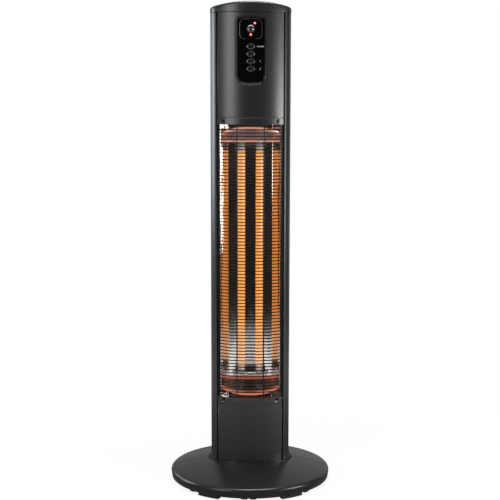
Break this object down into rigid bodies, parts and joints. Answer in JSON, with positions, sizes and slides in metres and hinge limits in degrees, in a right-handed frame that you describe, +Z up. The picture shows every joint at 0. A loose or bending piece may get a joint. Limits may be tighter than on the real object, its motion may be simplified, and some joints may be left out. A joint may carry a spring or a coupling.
{
  "type": "patio heater",
  "caption": "Slim floor-standing infrared heater tower with quartz lamps in a mirror trough behind a wire guard, push-button control head and weighted base.",
  "frame": {"origin": "on the floor, in the middle of the base, under the column's axis", "axes": "+Z up along the column, -Y out of the front with the lamps and buttons, +X to the viewer's right when facing the front"},
  "size_m": [0.39, 0.3684, 1.157],
  "materials": {
    "satin_black_shell": "satin black coating with a fine grain",
    "black_plastic": "moulded black plastic, fine matt texture",
    "rubber": "matt black rubber",
    "cast_iron": "raw casting, darkened",
    "zinc_steel": "zinc-plated sheet steel",
    "black_screw": "blackened steel screw",
    "chromed_wire": "bright plated wire",
    "reflector_mirror": "polished aluminium sheet",
    "quartz_glass": "clear quartz tube with an amber glow",
    "glowing_filament": "glowing heating coil",
    "lamp_ceramic": "unglazed white ceramic",
    "gloss_black_fascia": "piano black, high gloss",
    "smoked_window": "smoked window, high gloss",
    "receiver_lens": "clear dark dome, high gloss",
    "power_light": "red indicator lens, lit",
    "heat_light": "amber indicator lens, lit",
    "push_button": "dark button with a bright rim",
    "circuit_board": "green solder resist with tinned pads",
    "white_nylon": "natural nylon",
    "cable_jacket": "black cable jacket"
  },
  "bodies": {
    "tower": {"base_front_half": "satin_black_shell", "base_rear_half": "satin_black_shell", "left_side_profile": "satin_black_shell", "right_side_profile": "satin_black_shell", "rear_panel": "satin_black_shell", "upper_front_panel": "satin_black_shell", "lower_front_panel": "satin_black_shell", "upper_guard_strip": "satin_black_shell", "lower_guard_strip": "satin_black_shell", "top_cap": "satin_black_shell", "base_bottom_plate": "black_plastic", "control_bezel": "black_plastic", "cable_gland": "black_plastic", "gland_nut": "black_plastic", "foot_front_left": "rubber", "foot_front_right": "rubber", "foot_rear_left": "rubber", "foot_rear_right": "rubber", "mains_lead_inner": "rubber", "base_weight": "cast_iron", "column_socket": "zinc_steel", "socket_bolt_front_left": "zinc_steel", "socket_bolt_front_right": "zinc_steel", "socket_bolt_rear_left": "zinc_steel", "socket_bolt_rear_right": "zinc_steel", "upper_bulkhead": "zinc_steel", "lower_bulkhead": "zinc_steel", "lamp_bracket_upper": "zinc_steel", "lamp_bracket_lower": "zinc_steel", "guard_screw_upper_left": "black_screw", "guard_screw_upper_right": "black_screw", "guard_screw_lower_left": "black_screw", "guard_screw_lower_right": "black_screw", "wire_guard": "chromed_wire", "reflector_trough": "reflector_mirror", "reflector_upper_end": "reflector_mirror", "reflector_lower_end": "reflector_mirror", "quartz_tube_left": "quartz_glass", "quartz_tube_right": "quartz_glass", "filament_left": "glowing_filament", "filament_right": "glowing_filament", "lamp_end_upper_left": "lamp_ceramic", "lamp_end_upper_right": "lamp_ceramic", "lamp_end_lower_left": "lamp_ceramic", "lamp_end_lower_right": "lamp_ceramic", "control_fascia": "gloss_black_fascia", "receiver_window": "smoked_window", "receiver_lens": "receiver_lens", "power_led": "power_light", "heat_led": "heat_light", "control_board": "circuit_board", "power_board": "circuit_board", "terminal_block": "white_nylon", "tilt_switch": "white_nylon", "wiring_harness": "cable_jacket", "control_cable": "cable_jacket"},
    "button_1": {"button_1": "push_button"},
    "button_2": {"button_2": "push_button"},
    "button_3": {"button_3": "push_button"},
    "button_4": {"button_4": "push_button"}
  },
  "joints": [
    {"name": "button_1_press", "type": "slide", "parent": "tower", "child": "button_1", "axis": [0, 1, 0], "range_m": [0, 0.001], "stiffness_N_per_m": 400},
    {"name": "button_2_press", "type": "slide", "parent": "tower", "child": "button_2", "axis": [0, 1, 0], "range_m": [0, 0.001], "stiffness_N_per_m": 400},
    {"name": "button_3_press", "type": "slide", "parent": "tower", "child": "button_3", "axis": [0, 1, 0], "range_m": [0, 0.001], "stiffness_N_per_m": 400},
    {"name": "button_4_press", "type": "slide", "parent": "tower", "child": "button_4", "axis": [0, 1, 0], "range_m": [0, 0.001], "stiffness_N_per_m": 400}
  ]
}
